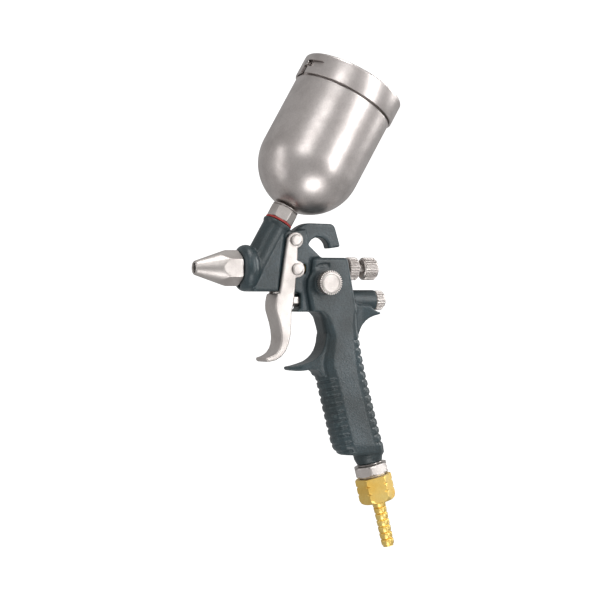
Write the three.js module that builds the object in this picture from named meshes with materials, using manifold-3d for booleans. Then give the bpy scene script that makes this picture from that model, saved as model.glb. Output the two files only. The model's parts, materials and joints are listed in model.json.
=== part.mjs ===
// Gravity-feed mini spray gun, in millimetres. The nozzle points to -X, up is +Z, the side knob is on -Y.
// Every piece is drawn in the gun frame: X = 0 at the air cap's tip, Z = 0 on the needle's axis. The last
// function moves the whole gun so that the origin is the seat of the hanging hook.
import * as THREE from "three";
import { mergeVertices } from "three/addons/utils/BufferGeometryUtils.js";
import Module from "manifold-3d";

const wasm = await Module();
wasm.setup();

// ---------------------------------------------------------------- driving dimensions
const HOOK_SEAT = [68, 16.2];
const HOOK_HOLE_R = 5.9;
const CUP_TILT = 30;
const CUP_LIP = [46.6, 23.5];
const CUP_R = 26.8;
const CUP_WALL = 1.1;
const CUP_POLE = 8.9;
const CUP_STRAIGHT = 38;
const NECK_R = 26.3;
const LID_R = 27.8;
const LID_HEIGHT = 12.3;
const LID_WALL = 1.1;
const BAYONET_RISE = 7.7;
const BAYONET_TURN = 23;
const PIN_R = 1.5;
const AIR_CAP_LENGTH = 24.2;
const AIR_CAP_HEX = 16;
const HEAD_FACE = 24.6;
const HEAD_R = 12;
const PANEL_HALF = 6.6;
const CORE_HALF = 5;
const BLOCK_HALF = 8;
const GRIP_HALF = 9;
const NEEDLE_R = 1;
const CARRIER_BORE_R = 4.1;
const PIVOT = [53.6, 14.4];
const YOKE = [54.4, -0.5];
const CHEEK_OUTER = 7.2;
const CHEEK_INNER = 5.4;
const VALVE_Z = -16.4;
const VALVE_BORE_R = 4.2;
const HOUSING_R = 5.4;
const HOUSING_END = 100.8;
const SIDE_KNOB = [69.8, -7.4];
const SIDE_KNOB_R = 6.3;
const INLET_TILT = 166;
const INLET = [98.8, -101];
const NIPPLE_HEX = 17;
const COUPLING_HEX = 17;
const TAIL_R = 3.45;
const RIB_PITCH = 4.1;
const ROUND = 24;

const STEEL = { color: 0xb4acaa, metalness: 0.9, roughness: 0.4 };
const NICKEL = { color: 0xd8d4d2, metalness: 0.9, roughness: 0.25 };
const PAINT = { color: 0x465254, metalness: 0.1, roughness: 0.5 };
const BRASS = { color: 0xcfa536, metalness: 0.9, roughness: 0.3 };
const FIBRE = { color: 0xa33a35, metalness: 0, roughness: 0.7 };
const RUBBER = { color: 0x1c1c1c, metalness: 0, roughness: 0.8 };
const PTFE = { color: 0xe8e6e0, metalness: 0, roughness: 0.5 };

// ---------------------------------------------------------------- solids
// Closed geometry as a manifold solid with its faces outwards.
function solid(geometry) {
  const flat = geometry.index ? geometry.toNonIndexed() : geometry;
  const bare = new THREE.BufferGeometry();
  bare.setAttribute("position", flat.getAttribute("position"));
  const merged = mergeVertices(bare, 1e-4);
  const corners = merged.index.array;
  const faces = [];
  for (let i = 0; i < corners.length; i += 3) {
    const [a, b, c] = [corners[i], corners[i + 1], corners[i + 2]];
    if (a !== b && b !== c && c !== a) faces.push(a, b, c);
  }
  const vertProperties = merged.attributes.position.array;
  const build = (list) =>
    new wasm.Manifold(new wasm.Mesh({ numProp: 3, vertProperties, triVerts: new Uint32Array(list) }));
  const made = build(faces);
  if (made.volume() > 0) return made;
  const turned = [];
  for (let i = 0; i < faces.length; i += 3) turned.push(faces[i], faces[i + 2], faces[i + 1]);
  return build(turned);
}

const unite = (solids) => solids.reduce((sum, next) => sum.add(next));
const cutAway = (from, cutters) => cutters.reduce((left, cutter) => left.subtract(cutter), from);

// Local +Y is laid along the direction that leans by tilt degrees from +Z towards +X.
function lean(geometry, [x, z], tilt) {
  geometry.rotateX(Math.PI / 2);
  geometry.rotateY(THREE.MathUtils.degToRad(tilt));
  geometry.translate(x, 0, z);
  return solid(geometry);
}

// Local +Y stays along world Y.
function across(geometry, [x, z]) {
  geometry.translate(x, 0, z);
  return solid(geometry);
}

// Profile of [radius, height] pairs turned round local Y. It is closed on itself, so a bore needs no extra pair.
function lathe(profile, segments = ROUND) {
  const points = profile.map(([r, h]) => new THREE.Vector2(r, h));
  points.push(points[0].clone());
  return new THREE.LatheGeometry(points, segments);
}

const rodShape = (r, from, to, segments = ROUND) =>
  lathe([[0, from], [r, from], [r, to], [0, to]], segments);
const ringShape = (outer, inner, from, to, segments = ROUND) =>
  lathe([[inner, from], [outer, from], [outer, to], [inner, to]], segments);

// Hexagonal prism along local Y with a corner at local +Z, then turned by some degrees.
function hexShape(acrossFlats, from, to, turn = 0) {
  const corner = acrossFlats / Math.sqrt(3);
  const geometry = new THREE.CylinderGeometry(corner, corner, to - from, 6);
  geometry.translate(0, (from + to) / 2, 0);
  geometry.rotateY(THREE.MathUtils.degToRad(turn));
  return geometry;
}

const turnedAlongX = (profile, z = 0, segments = ROUND) => lean(lathe(profile, segments), [0, z], 90);
const rodAlongX = (r, from, to, z = 0, segments = ROUND) => lean(rodShape(r, from, to, segments), [0, z], 90);
const ringAlongX = (outer, inner, from, to, z = 0) => lean(ringShape(outer, inner, from, to), [0, z], 90);
const onCup = (geometry) => lean(geometry, CUP_LIP, CUP_TILT);
const onInlet = (geometry) => lean(geometry, INLET, INLET_TILT);

// Corner points of a side outline, given as [x, z] pairs or as a shape with curves, with repeats dropped.
function cornersOf(outline) {
  const points = Array.isArray(outline) ? outline.map(([x, z]) => new THREE.Vector2(x, z)) : outline.getPoints(6);
  return points.filter((point, i) => point.distanceTo(points[(i + 1) % points.length]) > 0.02);
}

// Side outline given thickness along Y, with broken edges.
function slab(outline, half, bevel = 0) {
  const geometry = new THREE.ExtrudeGeometry(new THREE.Shape(cornersOf(outline)), {
    depth: 2 * (half - bevel),
    bevelEnabled: bevel > 0,
    bevelThickness: bevel,
    bevelSize: bevel,
    bevelOffset: -bevel,
    bevelSegments: 1,
  });
  geometry.translate(0, 0, bevel - half);
  geometry.rotateX(Math.PI / 2);
  return solid(geometry);
}

function block(x0, x1, y0, y1, z0, z1) {
  const geometry = new THREE.BoxGeometry(x1 - x0, y1 - y0, z1 - z0);
  geometry.translate((x0 + x1) / 2, (y0 + y1) / 2, (z0 + z1) / 2);
  return solid(geometry);
}

// Rows of horizontal sections skinned into one closed shape. A section is a rounded rectangle from front to
// back, half wide on each side, its corners of radius corner, shrunk all round by inset.
function loft(rows, inset = 0) {
  const perCorner = 4;
  const rings = rows.map(({ z, front, back, half, corner }) => {
    const r = Math.max(corner - inset, 0.2);
    const centres = [
      [back - inset - r, half - inset - r, 0],
      [front + inset + r, half - inset - r, 90],
      [front + inset + r, -(half - inset - r), 180],
      [back - inset - r, -(half - inset - r), 270],
    ];
    return centres.flatMap(([cx, cy, start]) =>
      Array.from({ length: perCorner }, (_, i) => {
        const angle = THREE.MathUtils.degToRad(start + (90 * i) / (perCorner - 1));
        return [cx + r * Math.cos(angle), cy + r * Math.sin(angle), z];
      }),
    );
  });
  const count = rings[0].length;
  const positions = [];
  const put = (...corners) => corners.forEach((corner) => positions.push(...corner));
  const middle = (ring) => [0, 1, 2].map((k) => ring.reduce((sum, p) => sum + p[k], 0) / count);
  for (let j = 0; j + 1 < rings.length; j++)
    for (let i = 0; i < count; i++) {
      const next = (i + 1) % count;
      put(rings[j][i], rings[j][next], rings[j + 1][next]);
      put(rings[j][i], rings[j + 1][next], rings[j + 1][i]);
    }
  const [low, high] = [rings[0], rings.at(-1)];
  for (let i = 0; i < count; i++) {
    const next = (i + 1) % count;
    put(middle(low), low[next], low[i]);
    put(middle(high), high[i], high[next]);
  }
  const geometry = new THREE.BufferGeometry();
  geometry.setAttribute("position", new THREE.Float32BufferAttribute(positions, 3));
  return solid(geometry);
}

// Disc along local Y with rounded flutes round its rim, for finger grip.
function flutedShape(radius, depth, count, from, to) {
  const shape = new THREE.Shape();
  const steps = count * 2;
  for (let i = 0; i < steps; i++) {
    const angle = (2 * Math.PI * i) / steps;
    const r = radius - (depth * (1 - Math.cos(count * angle))) / 2;
    const [x, y] = [r * Math.cos(angle), r * Math.sin(angle)];
    i ? shape.lineTo(x, y) : shape.moveTo(x, y);
  }
  const geometry = new THREE.ExtrudeGeometry(shape, { depth: to - from, bevelEnabled: false });
  geometry.rotateX(-Math.PI / 2);
  geometry.translate(0, from, 0);
  return geometry;
}

// Round wire coiled round local Y.
class Helix extends THREE.Curve {
  constructor(radius, from, to, turns) {
    super();
    Object.assign(this, { radius, from, to, turns });
  }
  getPoint(t, target = new THREE.Vector3()) {
    const angle = 2 * Math.PI * this.turns * t;
    const height = this.from + (this.to - this.from) * t;
    return target.set(this.radius * Math.cos(angle), height, this.radius * Math.sin(angle));
  }
}

function coilShape(radius, wire, from, to, turns) {
  const section = new THREE.Shape();
  for (let i = 0; i < 5; i++) {
    const angle = (2 * Math.PI * i) / 5;
    const [x, y] = [(wire / 2) * Math.cos(angle), (wire / 2) * Math.sin(angle)];
    i ? section.lineTo(x, y) : section.moveTo(x, y);
  }
  const extrudePath = new Helix(radius, from, to, turns);
  return new THREE.ExtrudeGeometry(section, { steps: turns * 9, extrudePath, bevelEnabled: false });
}

// ---------------------------------------------------------------- gun body
const GRIP_ROWS = [
  { z: -97, front: 82.5, back: 105.2, half: 7.6, corner: 6.5 },
  { z: -95.6, front: 80, back: 106, half: 8.6, corner: 7.5 },
  { z: -92, front: 77.8, back: 105.4, half: GRIP_HALF, corner: 7.8 },
  { z: -84, front: 75.6, back: 103, half: GRIP_HALF, corner: 7.8 },
  { z: -70, front: 72, back: 99.2, half: GRIP_HALF, corner: 7.8 },
  { z: -56, front: 68.5, back: 95.5, half: GRIP_HALF, corner: 7.8 },
  { z: -50, front: 67.3, back: 93.9, half: 8.8, corner: 7 },
  { z: -46, front: 68.2, back: 92.8, half: 8.7, corner: 6.2 },
  { z: -41, front: 69.9, back: 91.6, half: 8.5, corner: 5.4 },
  { z: -35, front: 71.1, back: 90.4, half: 8.4, corner: 4.8 },
  { z: -29.4, front: 69.8, back: 89.4, half: 8.2, corner: 4.2 },
  { z: -25.2, front: 68.7, back: 88.8, half: 8.1, corner: 3.4 },
  { z: -22.5, front: 66.6, back: 88.4, half: BLOCK_HALF, corner: 2.6 },
  { z: -22.3, front: 62.4, back: 88.3, half: BLOCK_HALF, corner: 1.6 },
  { z: -19, front: 61.6, back: 87.6, half: BLOCK_HALF, corner: 1.6 },
  { z: -11.4, front: 60, back: 86.2, half: BLOCK_HALF, corner: 1.6 },
  { z: -6, front: 60.2, back: 85.2, half: BLOCK_HALF, corner: 1.6 },
  { z: -2, front: 62.4, back: 84.4, half: BLOCK_HALF, corner: 1.6 },
  { z: 4.4, front: 62.9, back: 83.3, half: 7.9, corner: 1.8 },
  { z: 5.6, front: 64, back: 82.2, half: 6.9, corner: 1.6 },
];

// Shallow ribs cut into the front and back of the grip, leaving the side panels smooth.
function gripGrooves() {
  const lines = Array.from({ length: 14 }, (_, i) => {
    const z = -38.5 - i * RIB_PITCH;
    const x = 82 - (z + 38.5) * 0.25;
    const onFront = z < -54 && z > -92;
    const groove = new THREE.BoxGeometry(onFront ? 56 : 22, 24, 1.5);
    groove.rotateY(THREE.MathUtils.degToRad(-14));
    groove.translate(x + (onFront ? 0 : 15), 0, z + (onFront ? 0 : 3.7));
    return solid(groove);
  });
  const smooth = slab([[70, -35], [85, -35], [100.2, -96], [86, -96]], 12);
  return cutAway(unite(lines), [loft(GRIP_ROWS, 0.8), smooth]);
}

function hookOutline() {
  const [x, z] = [HOOK_SEAT[0], HOOK_SEAT[1] - HOOK_HOLE_R];
  const shape = new THREE.Shape();
  shape.moveTo(49, 8);
  shape.lineTo(49, 18.6);
  shape.lineTo(51.5, 19);
  shape.lineTo(54.8, 19.7);
  shape.quadraticCurveTo(59, 23.2, 63, 23.4);
  shape.lineTo(74.6, 23.2);
  shape.quadraticCurveTo(77.2, 23, 77.8, 20.4);
  shape.lineTo(80.2, 12.4);
  shape.quadraticCurveTo(80.4, 11.1, 79.2, 11.1);
  shape.lineTo(x + HOOK_HOLE_R, z);
  shape.absarc(x, z, HOOK_HOLE_R, 0, 1.42 * Math.PI, false);
  shape.lineTo(68.4, 2);
  shape.lineTo(52, 2);
  return shape;
}

function gunBody() {
  const head = turnedAlongX([
    [0, HEAD_FACE], [9.6, HEAD_FACE], [11.4, 26], [HEAD_R, 27.6], [HEAD_R, 29.4], [11, 31.2], [8.6, 33], [6, 36], [0, 38],
  ], 0, 36);
  const cupTube = onCup(lathe([[0, -27.5], [7.2, -27.5], [7.1, -2.4], [7.7, -1.8], [7.7, -0.3], [0, -0.3]]));
  const panel = slab([
    [30, -12], [44.2, -12], [44.5, -9.8], [46.2, 5], [47.7, 15.4], [47.7, 19], [43, 19], [31, 8],
  ], PANEL_HALF, 0.8);
  const core = slab([
    [36, -12], [54.9, -12], [57.3, -12.8], [57.3, -20.6], [55.8, -21.5], [55.6, -22.4], [72, -22.4], [72, 3],
    [62, 12], [60, 20], [51, 18.8], [46, 18.6], [40, 10],
  ], CORE_HALF, 0.4);
  const hook = slab(hookOutline(), 3.6, 0.5);
  const grip = loft(GRIP_ROWS);
  const guard = guardSolid();
  const housing = rodAlongX(HOUSING_R, 80, HOUSING_END, VALVE_Z);
  const spur = spurSolid();
  const knobBoss = across(rodShape(5.4, -9.5, -7), SIDE_KNOB);
  const inletBoss = onInlet(lathe([[0, -8], [7.7, -8], [7.7, -3], [7, -1], [6.8, 0], [0, 0]]));
  const whole = unite([head, cupTube, panel, core, hook, grip, guard, housing, spur, knobBoss, inletBoss]);
  return cutAway(whole, bodyPassages());
}

// Finger guard: a hooked tongue ahead of the grip, its inner side one curve with the finger rest.
function guardSolid() {
  const shape = new THREE.Shape();
  shape.moveTo(76, -33);
  shape.lineTo(71, -34);
  shape.quadraticCurveTo(70.9, -44, 63.4, -47.8);
  shape.quadraticCurveTo(57.4, -50.1, 51.6, -50.6);
  shape.quadraticCurveTo(50.6, -51.6, 52.2, -52.5);
  shape.quadraticCurveTo(56.6, -53.4, 62, -52.3);
  shape.quadraticCurveTo(67.2, -51.5, 68.6, -55.6);
  shape.lineTo(76, -57);
  const plan = new THREE.Shape([[50, -3.4], [58, -5.8], [68, -6.7], [80, -6.7], [80, 6.7], [68, 6.7], [58, 5.8], [50, 3.4]]
    .map(([x, y]) => new THREE.Vector2(x, y)));
  const column = new THREE.ExtrudeGeometry(plan, { depth: 40, bevelEnabled: false });
  column.translate(0, 0, -65);
  return slab(shape, 8.4, 0.4).intersect(solid(column));
}

// Rear spur over the web of the hand, narrowing to its tip under the valve housing.
function spurSolid() {
  const shape = new THREE.Shape();
  shape.moveTo(84, -18);
  shape.lineTo(97.4, -20);
  shape.lineTo(100.6, -21.9);
  shape.lineTo(104, -22.9);
  shape.lineTo(103, -23.8);
  shape.quadraticCurveTo(91.8, -25.4, 89.7, -33.6);
  shape.lineTo(84, -38);
  const plan = new THREE.Shape([[82, -7.8], [92, -6.6], [106, -3.2], [106, 3.2], [92, 6.6], [82, 7.8]]
    .map(([x, y]) => new THREE.Vector2(x, y)));
  const column = new THREE.ExtrudeGeometry(plan, { depth: 40, bevelEnabled: false });
  column.translate(0, 0, -50);
  return slab(shape, 8, 0.4).intersect(solid(column));
}

function bodyPassages() {
  const fluid = onCup(rodShape(3.4, -26.5, 2));
  const spigotThread = onCup(rodShape(4.6, -12, 2));
  const needleBore = rodAlongX(2.6, 22, 52);
  const nozzleThread = rodAlongX(4.4, 22, 34.5);
  const carrierBore = rodAlongX(CARRIER_BORE_R, 48, 90);
  const air = rodAlongX(1.8, 22, 72, -8.2, 16);
  const windows = block(51.6, 60.2, -CHEEK_INNER, CHEEK_INNER, -2.8, 2.2);
  const pivotHole = across(rodShape(2.1, -12, 12), PIVOT);
  const stemBore = rodAlongX(3.1, 50, 72, VALVE_Z, 24);
  const valveBore = rodAlongX(VALVE_BORE_R, 70, 110, VALVE_Z);
  const gripAir = onInlet(rodShape(3, -87, 1, 20));
  const inletThread = onInlet(rodShape(4.6, -9, 1, 28));
  const sideBore = across(rodShape(3.4, -12, -1), SIDE_KNOB);
  const dial = across(ringShape(10.4, 8, -9, -7.5), SIDE_KNOB)
    .intersect(block(SIDE_KNOB[0] - 7.5, SIDE_KNOB[0] + 2.5, -10, 0, 0, 4));
  return [
    fluid, spigotThread, needleBore, nozzleThread, carrierBore, air, windows, pivotHole, stemBore, valveBore,
    gripAir, inletThread, sideBore, dial, gripGrooves(),
  ];
}

// ---------------------------------------------------------------- nozzle and needle
function airCap() {
  const cone = turnedAlongX([
    [2.5, 0.2], [3.1, 0], [3.65, 0.5], [9.25, 17], [9.25, AIR_CAP_LENGTH], [6.9, AIR_CAP_LENGTH], [6.9, 15], [2.5, 2.6],
  ], 0, 36);
  const hexBase = lean(hexShape(AIR_CAP_HEX, -1, AIR_CAP_LENGTH + 1, 30), [0, 0], 90);
  return cone.intersect(hexBase);
}

const fluidNozzle = () => turnedAlongX([
  [1.25, 0.6], [1.6, 0.6], [1.9, 3.4], [3.9, 13], [6.5, 19.4], [6.5, 23.9], [4.1, 24], [4.1, 33], [2.1, 33], [2.1, 6],
]);
const nozzleGasket = () => ringAlongX(6.4, 4.7, 24, 24.5);
const needle = () => turnedAlongX([[0, 0.9], [0.5, 1.4], [NEEDLE_R, 7], [NEEDLE_R, 80.5], [0, 80.5]], 0, 16);
const needlePacking = () => ringAlongX(2.5, 1.05, 40, 44.5);
const packingNut = () => turnedAlongX([[1.2, 45], [2.4, 45], [2.4, 48.3], [3.9, 48.3], [3.9, 51.2], [1.2, 51.2]]);
const needleCarrier = () => turnedAlongX([[1.02, 56.6], [3.8, 56.6], [3.8, 61], [2.2, 61.4], [2.2, 64], [1.02, 64]]);
const needleSpring = () => lean(coilShape(3, 0.7, 62, 79.4, 7), [0, 0], 90);

function needleCollar() {
  const body = turnedAlongX([
    [2.5, 79.9], [3.9, 79.9], [3.9, 85.4], [6, 85.4], [6, 90.6], [5.3, 91.1], [2.5, 91.1],
  ]);
  return body.intersect(lean(flutedShape(6.05, 0.3, 20, 70, 95), [0, 0], 90));
}

function needleKnob() {
  const stem = turnedAlongX([[1.3, 84.2], [2.3, 84.2], [2.3, 96], [1.3, 96]]);
  const cap = turnedAlongX([
    [2, 95.4], [4.4, 95.4], [4.6, 94], [5.4, 93.6], [5.9, 94.4], [5.9, 100.6], [5, 102], [3.4, 102.6], [0, 102.6], [0, 97], [2, 97],
  ]).intersect(lean(flutedShape(5.95, 0.35, 24, 90, 105), [0, 0], 90));
  return stem.add(cap);
}

// ---------------------------------------------------------------- trigger
function trigger() {
  const lobes = [across(rodShape(4.1, -CHEEK_OUTER, CHEEK_OUTER), PIVOT), across(rodShape(4.3, -CHEEK_OUTER, CHEEK_OUTER), YOKE)];
  const cheek = slab([
    [48.9, 15.4], [47.2, 5], [45, -9.5], [43.5, -16.5], [52.6, -17], [53.4, -11], [54, -3], [54.7, 5.6], [54.7, 10], [53, 18],
    [50.6, 17.6],
  ], CHEEK_OUTER, 0.5);
  const cheeks = unite([cheek, ...lobes]).subtract(block(30, 70, -CHEEK_INNER, CHEEK_INNER, -30, 30));
  const outline = new THREE.Shape();
  outline.moveTo(43.2, -13);
  outline.quadraticCurveTo(41.2, -19.5, 42.9, -23.6);
  outline.quadraticCurveTo(48, -38, 42.9, -43);
  outline.quadraticCurveTo(41, -45, 37.2, -45.9);
  outline.quadraticCurveTo(36.5, -47.2, 38.2, -48.1);
  outline.quadraticCurveTo(51.4, -47.2, 51.2, -28);
  outline.lineTo(51.3, -23);
  outline.lineTo(53, -14.5);
  outline.lineTo(53, -13);
  const hollow = new THREE.Shape();
  hollow.moveTo(45.4, -11);
  hollow.quadraticCurveTo(43.8, -19.5, 45.4, -24.2);
  hollow.quadraticCurveTo(49.3, -37, 45.9, -42);
  hollow.lineTo(64, -42);
  hollow.lineTo(64, -11);
  const finger = slab(outline, CHEEK_OUTER, 0.4).subtract(slab(hollow, CHEEK_INNER));
  const pushPad = rodAlongX(2.2, 43.6, 47, VALVE_Z - 0.7, 20);
  return cutAway(unite([cheeks, finger, pushPad]), [
    across(rodShape(2.25, -12, 12), PIVOT), across(rodShape(1.8, -12, 12), YOKE),
  ]);
}

const pivotScrew = () => across(lathe([[0, -8.7], [2.3, -8.7], [3, -8.2], [3, -7.5], [2, -7.5], [2, 8.6], [0, 8.6]]), PIVOT)
  .subtract(block(50, 58, -9, -8.2, PIVOT[1] - 0.4, PIVOT[1] + 0.4));
const pivotNut = () => across(ringShape(3, 2.1, 7.5, 8.5), PIVOT).intersect(across(hexShape(5.6, 7, 9), PIVOT));
function yokeStud(side) {
  const profile = [[0, 1.9], [1.5, 1.9], [1.5, 7.5], [3.1, 7.5], [3.1, 8], [2.5, 8.5], [0, 8.5]];
  return across(lathe(profile.map(([r, h]) => [r, side * h]), 24), YOKE);
}

// ---------------------------------------------------------------- air valve and side valve
const valvePackingNut = () => unite([
  lean(hexShape(5.8, 54, 57, 30), [0, VALVE_Z], 90), rodAlongX(2.9, 56, 60.5, VALVE_Z, 24),
]).subtract(rodAlongX(1.7, 50, 62, VALVE_Z, 24));
const valvePacking = () => ringAlongX(3, 1.6, 60.8, 62.6, VALVE_Z);
const valveStem = () => turnedAlongX([
  [0, 47.4], [1, 47.4], [1.45, 48], [1.45, 72.6], [3.5, 72.6], [3.5, 74.2], [1.4, 74.6], [1.4, 79], [0, 79],
], VALVE_Z, 24);
const poppetSeal = () => ringAlongX(3.5, 1.5, 70.3, 72.4, VALVE_Z);
const valveSpring = () => lean(coilShape(2.7, 0.7, 75.1, 92.8, 8), [0, VALVE_Z], 90);
const valveCap = () => turnedAlongX([
  [0, 93.4], [3.9, 93.4], [3.9, 101.2], [5.1, 101.2], [5.1, 105.2], [4.2, 106.5], [2.6, 106.9], [0, 106.9],
], VALVE_Z).intersect(lean(flutedShape(5.1, 0.3, 24, 90, 110), [0, VALVE_Z], 90));

const sideGland = () => across(lathe([[2.1, -10.2], [4.6, -10.2], [4.6, -9.7], [3.1, -9.7], [3.1, -5], [2.1, -5]]), SIDE_KNOB);
const sideRing = () => across(ringShape(3.1, 2, -4.6, -3.2), SIDE_KNOB);
function sideKnob() {
  const disc = across(lathe([
    [0, -15.9], [5.2, -15.9], [5.8, -15.7], [SIDE_KNOB_R, -15.1], [SIDE_KNOB_R, -11.1], [5.9, -10.6], [0, -10.6],
  ], 48), SIDE_KNOB).intersect(across(flutedShape(SIDE_KNOB_R, 0.3, 30, -17, -9), SIDE_KNOB));
  return disc.add(across(rodShape(1.9, -12, -2, 24), SIDE_KNOB));
}

// ---------------------------------------------------------------- air inlet and hose coupling
const inletWasher = () => onInlet(ringShape(6.7, 4.8, 0.25, 0.95));
function inletNipple() {
  const hex = onInlet(hexShape(NIPPLE_HEX, 1.2, 6.4, 24))
    .intersect(onInlet(lathe([[0, 1.2], [8.7, 1.2], [9.6, 2], [9.6, 5.6], [8.7, 6.4], [0, 6.4]])));
  const threads = onInlet(lathe([[0, -7.5], [4.4, -7.5], [4.4, 1.4], [6.9, 1.4], [6.9, 7.4], [6.6, 7.4], [6.6, 14.6], [0, 14.6]]));
  return hex.add(threads).subtract(onInlet(rodShape(2.6, -10, 20, 24)));
}
const couplingSeal = () => onInlet(ringShape(6.4, 2.7, 14.9, 15.9));
function couplingNut() {
  const hex = onInlet(hexShape(COUPLING_HEX, 7.7, 21.4, -13));
  const rounded = onInlet(lathe([
    [0, 7.7], [9.1, 7.7], [9.75, 8.3], [9.75, 11.2], [9.1, 11.7], [9.75, 12.2], [9.75, 15.2], [9.1, 15.7], [9.75, 16.2],
    [9.75, 18.8], [9, 20.6], [7.8, 21.4], [0, 21.4],
  ]));
  return cutAway(hex.intersect(rounded), [onInlet(rodShape(7, 7, 18.6)), onInlet(rodShape(3.8, 18, 22))]);
}
function hoseTail() {
  const barbs = Array.from({ length: 6 }, (_, i) => {
    const from = 24.2 + i * 3.48;
    return [[TAIL_R - 0.6, from], [TAIL_R, from + 0.5], [TAIL_R - 0.5, from + 3.38]];
  }).flat();
  return onInlet(lathe([
    [1.9, 16.2], [6.3, 16.2], [6.3, 18.2], [TAIL_R, 18.3], [TAIL_R, 24], ...barbs, [2.8, 45.7], [1.9, 45.7],
  ], 20));
}

// ---------------------------------------------------------------- cup and lid
const cupGasket = () => onCup(ringShape(7.2, 4.8, 0, 1));
function cupSpigot() {
  const hex = onCup(hexShape(12.4, 1.3, 7.9, 10)).intersect(onCup(lathe([[0, 1.3], [7, 1.3], [7, 7.3], [6.3, 7.9], [0, 7.9]])));
  const stem = onCup(lathe([[0, -10], [4.4, -10], [4.4, 1.5], [6, 1.5], [6, 7.8], [3.6, 7.8], [3.6, 13.4], [0, 13.4]]));
  return hex.add(stem).subtract(onCup(rodShape(2.6, -12, 15, 24)));
}
const cupWasher = () => onCup(ringShape(7, 3.8, 8.1, 8.6));
const cupInnerNut = () => onCup(hexShape(9, 10.9, 13, 0)).subtract(onCup(rodShape(3.7, 9, 15, 24)));

// Half a meridian of the dome, from the pole's flat to the straight wall.
const domeArc = (r, pole, steps) => Array.from({ length: steps + 1 }, (_, i) => {
  const angle = (Math.PI / 2) * (i / steps);
  return [Math.max(r * Math.sin(angle), 3.8), pole + r * (1 - Math.cos(angle))];
});
const CUP_SEAM = CUP_POLE + CUP_R + CUP_STRAIGHT;
function cupShell() {
  const outside = domeArc(CUP_R, CUP_POLE, 10);
  const inside = domeArc(CUP_R - CUP_WALL, CUP_POLE + CUP_WALL, 7).reverse();
  const brim = [
    [CUP_R, CUP_SEAM - 1.2], [NECK_R, CUP_SEAM - 0.6], [NECK_R, CUP_SEAM + 9.6], [CUP_R - CUP_WALL, CUP_SEAM + 9.6],
  ];
  return onCup(lathe([...outside, ...brim, ...inside], 48));
}

// Direction round the cup's axis, counted from +X over the near side.
function radial(geometry, degrees) {
  geometry.rotateZ(-Math.PI / 2);
  geometry.rotateY(THREE.MathUtils.degToRad(-degrees));
  return geometry;
}
const PIN_ANGLE = 176;
function bayonetPin(turn) {
  const pin = lathe([[0, NECK_R + 0.1], [1.3, NECK_R + 0.1], [PIN_R, NECK_R + 0.8], [PIN_R, LID_R + 0.5], [0, LID_R + 0.9]], 16);
  const placed = radial(pin, PIN_ANGLE + turn);
  placed.translate(0, CUP_SEAM + BAYONET_RISE - 1.9, 0);
  return onCup(placed);
}

function lidSlot(turn) {
  const half = PIN_R + 0.45;
  const middle = CUP_SEAM + BAYONET_RISE - 1.9;
  const legs = [];
  const leg = new THREE.BoxGeometry(2 * half, 20, 12);
  leg.translate(0, middle + half - 10, LID_R);
  leg.rotateY(THREE.MathUtils.degToRad(90 - PIN_ANGLE - turn));
  legs.push(onCup(leg));
  for (let step = 0; step <= BAYONET_TURN; step += BAYONET_TURN / 5) {
    const hole = radial(rodShape(half, LID_R - 6, LID_R + 6, 16), PIN_ANGLE + turn - step);
    hole.translate(0, middle, 0);
    legs.push(onCup(hole));
  }
  return unite(legs);
}

function lid() {
  const top = CUP_SEAM + LID_HEIGHT;
  const shell = onCup(lathe([
    [0, top - 1.2], [LID_R - LID_WALL, top - 1.2], [LID_R - LID_WALL, CUP_SEAM], [LID_R, CUP_SEAM], [LID_R, top - 1.4],
    [LID_R - 0.45, top - 0.45], [LID_R - 1.4, top], [0, top],
  ], 48));
  return cutAway(shell, [lidSlot(0), lidSlot(180), onCup(rodShape(2.3, top - 3, top + 2, 20))]);
}
const lidSeal = () => onCup(ringShape(25.9, 23.2, CUP_SEAM + 9.8, CUP_SEAM + 10.9, 48));
const lidVent = () => onCup(lathe([[0.8, CUP_SEAM + 10.4], [2, CUP_SEAM + 10.4], [2, CUP_SEAM + 12.5], [3.4, CUP_SEAM + 12.6],
  [3, CUP_SEAM + 13.6], [0.8, CUP_SEAM + 13.6]], 24));

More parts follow.
